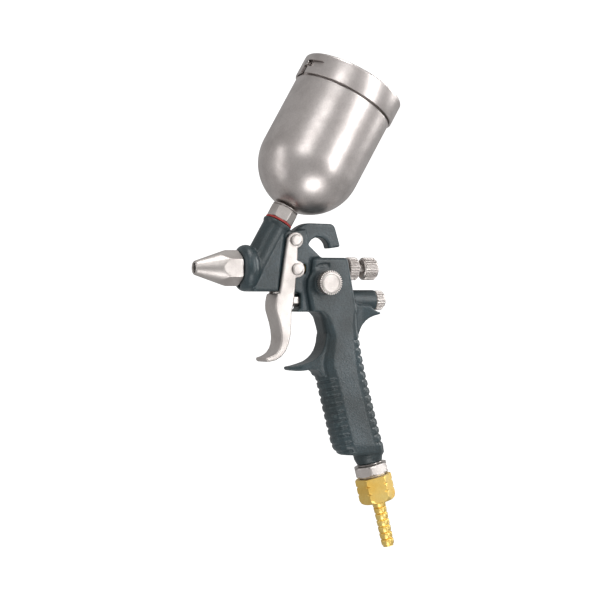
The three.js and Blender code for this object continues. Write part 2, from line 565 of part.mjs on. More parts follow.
// ---------------------------------------------------------------- assembly
const PIECES = [
  ["gun_body", PAINT, gunBody],
  ["air_cap", NICKEL, airCap],
  ["fluid_nozzle", STEEL, fluidNozzle],
  ["nozzle_gasket", FIBRE, nozzleGasket],
  ["needle", STEEL, needle],
  ["needle_packing", PTFE, needlePacking],
  ["needle_packing_nut", BRASS, packingNut],
  ["needle_carrier", BRASS, needleCarrier],
  ["needle_spring", STEEL, needleSpring],
  ["needle_collar", NICKEL, needleCollar],
  ["needle_knob", NICKEL, needleKnob],
  ["trigger", NICKEL, trigger],
  ["pivot_screw", NICKEL, pivotScrew],
  ["pivot_nut", NICKEL, pivotNut],
  ["yoke_stud_near", NICKEL, () => yokeStud(-1)],
  ["yoke_stud_far", NICKEL, () => yokeStud(1)],
  ["valve_packing_nut", NICKEL, valvePackingNut],
  ["valve_packing", PTFE, valvePacking],
  ["valve_stem", STEEL, valveStem],
  ["poppet_seal", RUBBER, poppetSeal],
  ["valve_spring", STEEL, valveSpring],
  ["valve_cap", NICKEL, valveCap],
  ["side_gland", NICKEL, sideGland],
  ["side_o_ring", RUBBER, sideRing],
  ["side_knob", NICKEL, sideKnob],
  ["inlet_washer", STEEL, inletWasher],
  ["inlet_nipple", NICKEL, inletNipple],
  ["coupling_seal", RUBBER, couplingSeal],
  ["coupling_nut", BRASS, couplingNut],
  ["hose_tail", BRASS, hoseTail],
  ["cup_gasket", FIBRE, cupGasket],
  ["cup_spigot", NICKEL, cupSpigot],
  ["cup_washer", STEEL, cupWasher],
  ["cup_inner_nut", NICKEL, cupInnerNut],
  ["cup_shell", STEEL, cupShell],
  ["bayonet_pin_front", STEEL, () => bayonetPin(0)],
  ["bayonet_pin_rear", STEEL, () => bayonetPin(180)],
  ["lid", STEEL, lid],
  ["lid_seal", RUBBER, lidSeal],
  ["lid_vent", NICKEL, lidVent],
];

// Named mesh of a solid, moved so that the hook's seat is the origin.
function meshOf(name, look, shape) {
  const { vertProperties, triVerts } = shape.getMesh();
  const geometry = new THREE.BufferGeometry();
  geometry.setAttribute("position", new THREE.BufferAttribute(vertProperties, 3));
  geometry.setIndex(new THREE.BufferAttribute(triVerts, 1));
  geometry.translate(-HOOK_SEAT[0], 0, -HOOK_SEAT[1]);
  geometry.computeVertexNormals();
  const mesh = new THREE.Mesh(geometry, new THREE.MeshStandardMaterial(look));
  mesh.name = name;
  return mesh;
}

const gun = new THREE.Group();
gun.name = "mini_spray_gun";
for (const [name, look, make] of PIECES) gun.add(meshOf(name, look, make()));
export default gun;
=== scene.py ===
"""Looks of a gravity-feed mini spray gun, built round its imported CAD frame.

Sizes are in millimetres in the gun's own frame: X = 0 at the air cap's tip, Z = 0 on the needle's axis,
the side knob on -Y. Meshes are made in metres in the row frame, whose origin is the seat of the hanging
hook.
"""

import json
import logging
import math
from dataclasses import dataclass
from enum import Enum
from typing import Callable, Iterable, Optional, Sequence

import bmesh
import bpy
from mathutils import Matrix, Vector

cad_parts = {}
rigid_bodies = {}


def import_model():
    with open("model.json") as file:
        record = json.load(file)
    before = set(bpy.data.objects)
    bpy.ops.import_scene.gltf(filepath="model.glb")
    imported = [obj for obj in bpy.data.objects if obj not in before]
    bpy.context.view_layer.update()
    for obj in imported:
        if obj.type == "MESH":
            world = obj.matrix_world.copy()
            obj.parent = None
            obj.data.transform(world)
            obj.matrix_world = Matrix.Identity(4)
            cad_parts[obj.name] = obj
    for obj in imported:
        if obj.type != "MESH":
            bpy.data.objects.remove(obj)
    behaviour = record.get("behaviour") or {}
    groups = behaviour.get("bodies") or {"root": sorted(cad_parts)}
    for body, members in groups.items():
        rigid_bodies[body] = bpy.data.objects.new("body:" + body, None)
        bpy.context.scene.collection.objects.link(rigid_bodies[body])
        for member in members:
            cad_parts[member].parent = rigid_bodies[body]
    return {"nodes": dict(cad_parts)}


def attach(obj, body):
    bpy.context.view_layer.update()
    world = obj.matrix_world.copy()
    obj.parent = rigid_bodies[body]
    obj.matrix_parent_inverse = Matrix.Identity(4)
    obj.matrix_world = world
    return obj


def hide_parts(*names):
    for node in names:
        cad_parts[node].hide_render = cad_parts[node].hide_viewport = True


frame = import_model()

LOG = logging.getLogger("spray_gun")
HOOK_SEAT = Vector((68.0, 0.0, 16.2))
MM = 0.001
Profile = Sequence[tuple[float, float]]


class Body(Enum):
    """The moving bodies of the frame."""

    GUN = "gun"
    TRIGGER = "trigger"
    AIR_CAP = "air_cap"
    NEEDLE_KNOB = "needle_knob"
    VALVE_CAP = "valve_cap"
    SIDE_KNOB = "side_knob"
    COUPLING_NUT = "coupling_nut"
    HOSE_TAIL = "hose_tail"
    LID = "lid"


@dataclass(frozen=True)
class Axis:
    """A line of the gun that turned pieces are centred on.

    Attributes:
        x: Place along the gun, in mm.
        z: Height, in mm.
        tilt: Lean from +Z towards +X in degrees; the line's own Z runs that way.
        crossways: True for a line that runs out of the near side instead.
    """

    x: float
    z: float
    tilt: float = 0.0
    crossways: bool = False

    def matrix(self) -> Matrix:
        """Place and direction of the line in the row frame, in metres."""
        origin = (Vector((self.x, 0.0, self.z)) - HOOK_SEAT) * MM
        turn = Matrix.Rotation(math.radians(90), 4, "X") if self.crossways else Matrix.Rotation(
            math.radians(self.tilt), 4, "Y")
        return Matrix.Translation(origin) @ turn @ Matrix.Scale(MM, 4)


NEEDLE_LINE = Axis(0, 0, 90)
VALVE_LINE = Axis(0, -16.4, 90)
CUP_LINE = Axis(46.6, 23.5, 30)
INLET_LINE = Axis(98.8, -101, 166)
PIVOT_LINE = Axis(53.6, 14.4, crossways=True)
YOKE_LINE = Axis(54.4, -0.5, crossways=True)
SIDE_LINE = Axis(69.8, -7.4, crossways=True)


# ------------------------------------------------------------------ colours and shader nodes
def linear(hex_colour: str) -> tuple[float, float, float, float]:
    """Turns an sRGB hex colour to linear.

    Args:
        hex_colour: Six hex digits.

    Returns:
        Linear red, green, blue and alpha.
    """
    parts = [int(hex_colour[i:i + 2], 16) / 255 for i in (0, 2, 4)]
    return (*[c / 12.92 if c <= 0.04045 else ((c + 0.055) / 1.055) ** 2.4 for c in parts], 1.0)


@dataclass
class Shader:
    """A material's node tree while it is being wired."""

    material: bpy.types.Material

    @classmethod
    def named(cls, name: str) -> "Shader":
        """Starts a material that holds only its Principled shader."""
        material = bpy.data.materials.new(name)
        material.use_nodes = True
        return cls(material)

    @property
    def surface(self) -> bpy.types.Node:
        """The Principled shader."""
        return self.material.node_tree.nodes["Principled BSDF"]

    def set(self, **values: object) -> None:
        """Sets constant inputs of the Principled shader; underscores stand for spaces."""
        for key, value in values.items():
            self.surface.inputs[key.replace("_", " ")].default_value = value

    def add(self, kind: str, links: Optional[dict] = None, **settings: object) -> bpy.types.Node:
        """Adds a node.

        Args:
            kind: The node's type name.
            links: Input name or index to the socket or the constant that feeds it.
            settings: Attributes of the node.

        Returns:
            The new node.
        """
        node = self.material.node_tree.nodes.new(kind)
        for key, value in settings.items():
            setattr(node, key, value)
        for key, value in (links or {}).items():
            if isinstance(value, bpy.types.NodeSocket):
                self.material.node_tree.links.new(value, node.inputs[key])
            else:
                node.inputs[key].default_value = value
        return node

    def feed(self, key: str, socket: bpy.types.NodeSocket) -> None:
        """Links a socket to an input of the Principled shader."""
        self.material.node_tree.links.new(socket, self.surface.inputs[key])

    def ramp(self, source: bpy.types.NodeSocket,
             stops: Sequence[tuple[float, tuple]]) -> bpy.types.NodeSocket:
        """Passes a value through a colour ramp.

        Args:
            source: The value.
            stops: Pairs of position and linear colour.

        Returns:
            The ramp's colour socket.
        """
        node = self.add("ShaderNodeValToRGB", {"Fac": source})
        band = node.color_ramp
        while len(band.elements) < len(stops):
            band.elements.new(0.5)
        for element, (place, colour) in zip(band.elements, stops):
            element.position = place
            element.color = colour
        return node.outputs["Color"]


def grey(value: float) -> tuple[float, float, float, float]:
    """A grey of that value."""
    return (value, value, value, 1.0)


@dataclass(frozen=True)
class Metal:
    """A bare or plated metal with a fine grain and handling smears.

    Attributes:
        name: What the metal is and how it was finished.
        base: Main colour.
        worn: Colour of the smears.
        roughness: Middle roughness.
        spread: How far smears change the roughness.
        grain_mm: Size of the finish's grain.
        grain_depth: Strength of the grain's bump.
    """

    name: str
    base: str
    worn: str
    roughness: float
    spread: float = 0.1
    grain_mm: float = 0.5
    grain_depth: float = 0.1

    def make(self) -> bpy.types.Material:
        """Wires the material."""
        shader = Shader.named(self.name)
        shader.set(Metallic=1.0)
        place = shader.add("ShaderNodeTexCoord").outputs["Object"]
        smear = shader.add("ShaderNodeTexNoise", {"Vector": place, "Scale": 90.0, "Detail": 5.0,
                                                  "Roughness": 0.6})
        grain = shader.add("ShaderNodeTexNoise",
                           {"Vector": place, "Scale": 1 / (self.grain_mm * MM), "Detail": 3.0,
                            "Roughness": 0.6})
        colour = shader.ramp(smear.outputs["Fac"], [(0.35, linear(self.worn)), (0.62, linear(self.base))])
        speck = shader.ramp(grain.outputs["Fac"], [(0.3, grey(0.86)), (0.7, grey(1.0))])
        mixed = shader.add("ShaderNodeMix", {6: colour, 7: speck, 0: 1.0}, data_type="RGBA",
                           blend_type="MULTIPLY")
        shader.feed("Base Color", mixed.outputs[2])
        rough = shader.add("ShaderNodeMapRange", {
            "Value": smear.outputs["Fac"], "From Min": 0.3, "From Max": 0.7,
            "To Min": self.roughness + self.spread, "To Max": self.roughness - self.spread / 2})
        shader.feed("Roughness", rough.outputs["Result"])
        bump = shader.add("ShaderNodeBump", {
            "Height": grain.outputs["Fac"], "Strength": self.grain_depth, "Distance": 0.05 * MM})
        shader.feed("Normal", bump.outputs["Normal"])
        return shader.material


@dataclass(frozen=True)
class HammerPaint:
    """Stoved enamel on a cast alloy: a shallow orange-peel skin, speckled, with a painted highlight on its
    edges.

    Attributes:
        name: What the paint is.
        base: Main colour.
        shade: Colour of the paint's darker broad patches.
        edge_highlight_colour: Colour of the painted highlight along convex edges.
        dimple_mm: Width of the peel's dimples.
        fleck_mm: Width of the speckles.
    """

    name: str = "stoved_green_grey_enamel"
    base: str = "2A3A40"
    shade: str = "1C282B"
    # Lighter colour mixed onto convex edges as a painted highlight.
    edge_highlight_colour: str = "465355"
    dimple_mm: float = 1.1
    fleck_mm: float = 0.7

    def make(self) -> bpy.types.Material:
        """Wires the material."""
        shader = Shader.named(self.name)
        shader.set(Metallic=0.0, IOR=1.5, Coat_Weight=0.15, Coat_Roughness=0.3)
        place = shader.add("ShaderNodeTexCoord").outputs["Object"]
        peel = shader.add("ShaderNodeTexNoise",
                          {"Vector": place, "Scale": 1 / (self.dimple_mm * MM), "Detail": 2.0,
                           "Roughness": 0.5})
        cloud = shader.add("ShaderNodeTexNoise", {"Vector": place, "Scale": 45.0, "Detail": 4.0})
        # Pointiness marks the convex edges that get the painted highlight.
        edge_pointiness = shader.add("ShaderNodeNewGeometry").outputs["Pointiness"]
        fleck = shader.add("ShaderNodeTexNoise",
                           {"Vector": place, "Scale": 1 / (self.fleck_mm * MM), "Detail": 3.0,
                            "Roughness": 0.7})
        field = shader.ramp(cloud.outputs["Fac"], [(0.35, linear(self.shade)), (0.65, linear(self.base))])
        spots = shader.ramp(fleck.outputs["Fac"], [(0.42, grey(0.7)), (0.6, grey(1.25))])
        speckled = shader.add("ShaderNodeMix", {6: field, 7: spots, 0: 1.0}, data_type="RGBA",
                              blend_type="MULTIPLY")
        colour = speckled.outputs[2]
        # Painted highlight: convex edges, found by pointiness, are mixed towards a lighter colour.
        edge = shader.ramp(edge_pointiness, [(0.5, grey(0.0)), (0.6, grey(0.55))])
        mixed = shader.add("ShaderNodeMix", {0: edge, 6: colour, 7: linear(self.edge_highlight_colour)}, data_type="RGBA")
        shader.feed("Base Color", mixed.outputs[2])
        rough = shader.add("ShaderNodeMapRange", {
            "Value": cloud.outputs["Fac"], "From Min": 0.3, "From Max": 0.7, "To Min": 0.46,
            "To Max": 0.34})
        shader.feed("Roughness", rough.outputs["Result"])
        bump = shader.add("ShaderNodeBump", {"Height": peel.outputs["Fac"], "Strength": 0.6,
                                             "Distance": 0.2 * MM})
        shader.feed("Normal", bump.outputs["Normal"])
        return shader.material


@dataclass(frozen=True)
class Moulded:
    """A moulded or pressed non-metal, slightly mottled.

    Attributes:
        name: What it is.
        base: Main colour.
        fleck: Second colour.
        roughness: Surface roughness.
        grain_mm: Size of the mottling.
    """

    name: str
    base: str
    fleck: str
    roughness: float
    grain_mm: float = 0.8

    def make(self) -> bpy.types.Material:
        """Wires the material."""
        shader = Shader.named(self.name)
        shader.set(Metallic=0.0, Roughness=self.roughness, IOR=1.5)
        place = shader.add("ShaderNodeTexCoord").outputs["Object"]
        grain = shader.add("ShaderNodeTexNoise",
                           {"Vector": place, "Scale": 1 / (self.grain_mm * MM), "Detail": 4.0})
        colour = shader.ramp(grain.outputs["Fac"], [(0.35, linear(self.fleck)), (0.65, linear(self.base))])
        shader.feed("Base Color", colour)
        bump = shader.add("ShaderNodeBump", {"Height": grain.outputs["Fac"], "Strength": 0.3,
                                             "Distance": 0.05 * MM})
        shader.feed("Normal", bump.outputs["Normal"])
        return shader.material


class Finish(Enum):
    """Every finish on the gun, by the record's slot and what it is."""

    # Bead-blasted stainless: soft grey highlights that run the length of the cup.
    CUP_STEEL = ("steel", Metal("bead_blasted_stainless", "D2CBC8", "BEB7B4", 0.34, 0.05, 0.7, 0.7))
    # Turned steel of the inner parts: tighter highlight.
    BRIGHT_STEEL = ("steel", Metal("turned_steel", "B5B0AD", "9C9794", 0.28))
    # Satin nickel on brass and zinc: nearly white where lit.
    NICKEL = ("nickel", Metal("satin_nickel_plate", "D2CCC8", "BFB8B4", 0.42, 0.06, 0.6, 0.35))
    # Yellow turned brass, slightly tarnished in patches.
    BRASS = ("brass", Metal("turned_yellow_brass", "FFE08A", "F0C564", 0.34, 0.1, 0.5, 0.15))
    PAINT = ("paint", HammerPaint())
    FIBRE = ("fibre", Moulded("red_vulcanised_fibre", "A8352F", "8A2A27", 0.6))
    RUBBER = ("rubber", Moulded("black_nitrile_rubber", "1D1D1D", "262626", 0.7))
    PTFE = ("ptfe", Moulded("white_ptfe", "E8E5DE", "DAD6CE", 0.4))

    @property
    def slot(self) -> str:
        """The record's slot for this finish."""
        return self.value[0]

    def material(self) -> bpy.types.Material:
        """The finish's material, made once."""
        recipe = self.value[1]
        return bpy.data.materials.get(recipe.name) or recipe.make()


# ------------------------------------------------------------------ mesh tools
def rounded(profile: Profile, radius: float = 0.25, closed: bool = False) -> list[tuple[float, float]]:
    """Rounds the corners of a profile.

    Args:
        profile: Radius and height pairs.
        radius: How far back each corner is cut.
        closed: True if the last pair joins the first.

    Returns:
        The rounded profile.
    """
    points = [Vector(p) for p in profile]
    out: list[tuple[float, float]] = []
    for i, here in enumerate(points):
        if not closed and i in (0, len(points) - 1):
            out.append(tuple(here))
            continue
        before, after = points[i - 1], points[(i + 1) % len(points)]
        back, ahead = before - here, after - here
        cut = min(radius, 0.45 * back.length, 0.45 * ahead.length)
        if here.x < 1e-6 or cut < 1e-4 or abs(back.normalized().dot(ahead.normalized())) > 0.995:
            out.append(tuple(here))
            continue
        start, end = here + back.normalized() * cut, here + ahead.normalized() * cut
        for t in (0.0, 0.33, 0.67, 1.0):
            out.append(tuple(start * (1 - t) ** 2 + here * 2 * t * (1 - t) + end * t * t))
    return out


def new_piece(name: str, mesh: bpy.types.Mesh, sharp_deg: float = 32.0) -> bpy.types.Object:
    """Links a mesh as an object at the origin, smooth but for its sharp edges.

    Args:
        name: The piece's name.
        mesh: Its mesh, already in place.
        sharp_deg: Edges turned more than this stay sharp.

    Returns:
        The object.
    """
    for polygon in mesh.polygons:
        polygon.use_smooth = True
    mesh.set_sharp_from_angle(angle=math.radians(sharp_deg))
    piece = bpy.data.objects.new(name, mesh)
    bpy.context.scene.collection.objects.link(piece)
    return piece


def spun_mesh(name: str, profile: Profile, line: Axis, segments: int = 96, closed: bool = False,
              limit: Optional[Callable[[float], float]] = None) -> bpy.types.Mesh:
    """Spins a profile round a line.

    Args:
        name: The mesh's name.
        profile: Radius and height pairs in mm; an open one starts and ends on the line.
        line: The line it is spun round.
        segments: Steps round the line.
        closed: True if the last pair joins the first.
        limit: Largest radius at an angle, for hexagons and the like.

    Returns:
        The mesh, in place.
    """
    mesh_tool = bmesh.new()
    rings = []
    for radius, height in profile:
        if radius < 1e-6:
            rings.append([mesh_tool.verts.new((0, 0, height))])
            continue
        ring = []
        for i in range(segments):
            angle = 2 * math.pi * i / segments
            r = min(radius, limit(angle)) if limit else radius
            ring.append(mesh_tool.verts.new((r * math.cos(angle), r * math.sin(angle), height)))
        rings.append(ring)
    pairs = list(zip(rings, rings[1:])) + ([(rings[-1], rings[0])] if closed else [])
    for low, high in pairs:
        if len(low) == 1 and len(high) == 1:
            continue
        for i in range(segments):
            j = (i + 1) % segments
            if len(low) == 1:
                mesh_tool.faces.new((low[0], high[j], high[i]))
            elif len(high) == 1:
                mesh_tool.faces.new((low[i], low[j], high[0]))
            else:
                mesh_tool.faces.new((low[i], low[j], high[j], high[i]))
    bmesh.ops.remove_doubles(mesh_tool, verts=mesh_tool.verts, dist=1e-4)
    bmesh.ops.recalc_face_normals(mesh_tool, faces=mesh_tool.faces)
    mesh_tool.transform(line.matrix())
    mesh = bpy.data.meshes.new(name)
    mesh_tool.to_mesh(mesh)
    mesh_tool.free()
    return mesh


def hexagon(across_flats: float, turn_deg: float = 0.0) -> Callable[[float], float]:
    """Largest radius of a hexagon at an angle.

    Args:
        across_flats: Size in mm.
        turn_deg: Angle of one corner.

    Returns:
        A function of the angle in radians.
    """
    def reach(angle: float) -> float:
        """Radius of the hexagon at that angle."""
        from_flat = (angle - math.radians(turn_deg)) % (math.pi / 3) - math.pi / 6
        return across_flats / 2 / math.cos(from_flat)

    return reach


class RidgeRing:
    """Ridges set round a line by Geometry Nodes, such as a knurl."""

    def __init__(self) -> None:
        """Builds the tree with its named inputs."""
        self.tree = bpy.data.node_groups.new("ridge_ring", "GeometryNodeTree")
        self.tree.is_modifier = True
        self.ids: dict[str, str] = {}
        kinds = {"Count": "NodeSocketInt", "Radius": "NodeSocketFloat", "Length": "NodeSocketFloat",
                 "Width": "NodeSocketFloat", "Height": "NodeSocketFloat", "Finish": "NodeSocketMaterial"}
        face = self.tree.interface
        face.new_socket("Geometry", in_out="INPUT", socket_type="NodeSocketGeometry")
        for key, kind in kinds.items():
            self.ids[key] = face.new_socket(key, in_out="INPUT", socket_type=kind).identifier
        face.new_socket("Geometry", in_out="OUTPUT", socket_type="NodeSocketGeometry")
        given = self._add("NodeGroupInput").outputs
        ring = self._add("GeometryNodeMeshCircle", {"Vertices": given["Count"], "Radius": given["Radius"]},
                         fill_type="NONE")
        ridge = self._add("GeometryNodeMeshCylinder", {"Vertices": 8, "Radius": 1.0, "Depth": 1.0})
        size = self._add("ShaderNodeCombineXYZ",
                         {0: given["Height"], 1: given["Width"], 2: given["Length"]})
        centre = self._add("GeometryNodeInputPosition").outputs[0]
        outward = self._add("FunctionNodeAlignRotationToVector", {"Vector": centre}, axis="X",
                            pivot_axis="Z")
        placed = self._add("GeometryNodeInstanceOnPoints", {
            "Points": ring.outputs[0], "Instance": ridge.outputs[0], "Rotation": outward.outputs[0],
            "Scale": size.outputs[0]})
        real = self._add("GeometryNodeRealizeInstances", {0: placed.outputs[0]})
        dressed = self._add("GeometryNodeSetMaterial",
                            {"Geometry": real.outputs[0], "Material": given["Finish"]})
        self._add("NodeGroupOutput", {0: dressed.outputs[0]})

    def _add(self, kind: str, links: Optional[dict] = None, **settings: object) -> bpy.types.Node:
        """Adds a node with its settings and its links or constants."""
        node = self.tree.nodes.new(kind)
        for key, value in settings.items():
            setattr(node, key, value)
        for key, value in (links or {}).items():
            if isinstance(value, bpy.types.NodeSocket):
                self.tree.links.new(value, node.inputs[key])
            else:
                node.inputs[key].default_value = value
        return node

    def make(self, name: str, line: Axis, middle: float, finish: Finish, count: int, radius: float,
             length: float, width: float, height: float) -> bpy.types.Mesh:
        """Makes one ring of ridges.

        Args:
            name: The mesh's name.
            line: The line they stand round.
            middle: Height of their middles along it, in mm.
            finish: Their finish.
            count: How many.
            radius: Radius of their middles, in mm.
            length: Along the line, in mm.
            width: Half width round it, in mm.
            height: Half height outwards, in mm.

        Returns:
            The plain mesh, in place.
        """
        carrier = bpy.data.objects.new(name, bpy.data.meshes.new(name))
        bpy.context.scene.collection.objects.link(carrier)
        modifier = carrier.modifiers.new("ridges", "NODES")
        modifier.node_group = self.tree
        values = {"Count": count, "Radius": radius, "Length": length, "Width": width, "Height": height,
                  "Finish": finish.material()}
        for key, value in values.items():
            modifier[self.ids[key]] = value
        seen = carrier.evaluated_get(bpy.context.evaluated_depsgraph_get())
        mesh = bpy.data.meshes.new_from_object(seen)
        bpy.data.objects.remove(carrier)
        mesh.transform(line.matrix() @ Matrix.Translation((0, 0, middle)))
        mesh.name = name
        return mesh


def joined(name: str, meshes: Iterable[bpy.types.Mesh]) -> bpy.types.Mesh:
    """Puts several meshes into one.

    Args:
        name: The new mesh's name.
        meshes: The meshes.

    Returns:
        One mesh.
    """
    mesh_tool = bmesh.new()
    for mesh in meshes:
        mesh_tool.from_mesh(mesh)
    mesh = bpy.data.meshes.new(name)
    mesh_tool.to_mesh(mesh)
    mesh_tool.free()
    return mesh


def dress(piece: bpy.types.Object, finish: Finish, body: Body, *nodes: str) -> bpy.types.Object:
    """Gives a piece its finish, its body and the CAD nodes that it stands for.

    Args:
        piece: The piece.
        finish: Its finish.
        body: The body that it rides on.
        nodes: The CAD nodes that it replaces.

    Returns:
        The piece.
    """
    piece.data.materials.clear()
    piece.data.materials.append(finish.material())
    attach(piece, body.value)
    if nodes:
        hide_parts(*nodes)
    LOG.info("%s: %s faces, %s", piece.name, len(piece.data.polygons), finish.name.lower())
    return piece


def cast_copy(name: str, node: str, voxel: float, rounds: int) -> bpy.types.Object:
    """A CAD node's shape with the soft edges of a casting.

    Args:
        name: The piece's name.
        node: The CAD node.
        voxel: Size of the remesh, in mm.
        rounds: Smoothing rounds.

    Returns:
        The piece.
    """
    mesh_tool = bmesh.new()
    mesh_tool.from_mesh(frame["nodes"][node].data)
    bmesh.ops.remove_doubles(mesh_tool, verts=mesh_tool.verts, dist=2e-6)
    mesh = bpy.data.meshes.new(name)
    mesh_tool.to_mesh(mesh)
    mesh_tool.free()
    raw = bpy.data.objects.new(name + "_raw", mesh)
    bpy.context.scene.collection.objects.link(raw)
    remesh = raw.modifiers.new("remesh", "REMESH")
    remesh.mode = "VOXEL"
    remesh.voxel_size = voxel * MM
    soften = raw.modifiers.new("soften", "SMOOTH")
    soften.iterations = rounds
    soften.factor = 0.5
    seen = raw.evaluated_get(bpy.context.evaluated_depsgraph_get())
    cast = bpy.data.meshes.new_from_object(seen)
    bpy.data.objects.remove(raw)
    cast.name = name
    return new_piece(name, cast, 80.0)


# ------------------------------------------------------------------ sub-assemblies
@dataclass
class GunCasting:
    """The painted cast body.

    Attributes:
        voxel: Fineness of its surface, in mm.
        rounds: How far its edges are softened.
    """

    voxel: float = 0.48
    rounds: int = 3

    def build(self) -> None:
        """Makes the body and dresses it."""
        dress(cast_copy("gun_casting", "gun_body", self.voxel, self.rounds), Finish.PAINT, Body.GUN,
              "gun_body")


@dataclass
class NozzleEnd:
    """Air cap with its hexagonal base.

    Attributes:
        length: Length of the cap, in mm.
        hex_size: Across flats, in mm.
        tip_radius: Radius of the rounded tip, in mm.
    """

    length: float = 24.2
    hex_size: float = 16.0
    tip_radius: float = 3.65

    def build(self) -> None:
        """Makes the cap and the nozzle inside its mouth."""
        slope = (9.24 - self.tip_radius) / 16.7
        cone = [(self.tip_radius + slope * (x - 0.5), x) for x in (step / 2 for step in range(24, 34))]
        profile = rounded([
            (2.5, 0.2), (3.1, 0), (self.tip_radius, 0.5), *cone, (9.24, 17.2), (9.24, self.length - 0.5),
            (8.7, self.length), (6.9, self.length), (6.9, 15), (2.5, 2.6)], 0.35, closed=True)
        cap = spun_mesh("air_cap_turned", profile, NEEDLE_LINE, 144, True, hexagon(self.hex_size, 0.0))
        dress(new_piece("air_cap_turned", cap, 24.0), Finish.NICKEL, Body.AIR_CAP, "air_cap")
        nozzle = spun_mesh("fluid_nozzle_turned", rounded([
            (1.25, 0.6), (1.6, 0.6), (1.9, 3.4), (3.9, 13), (6.5, 19.4), (6.5, 23.9), (4.1, 24), (4.1, 33),
            (2.1, 33), (2.1, 6)], 0.2, closed=True), NEEDLE_LINE, 64, True)
        dress(new_piece("fluid_nozzle_turned", nozzle), Finish.BRIGHT_STEEL, Body.GUN, "fluid_nozzle")


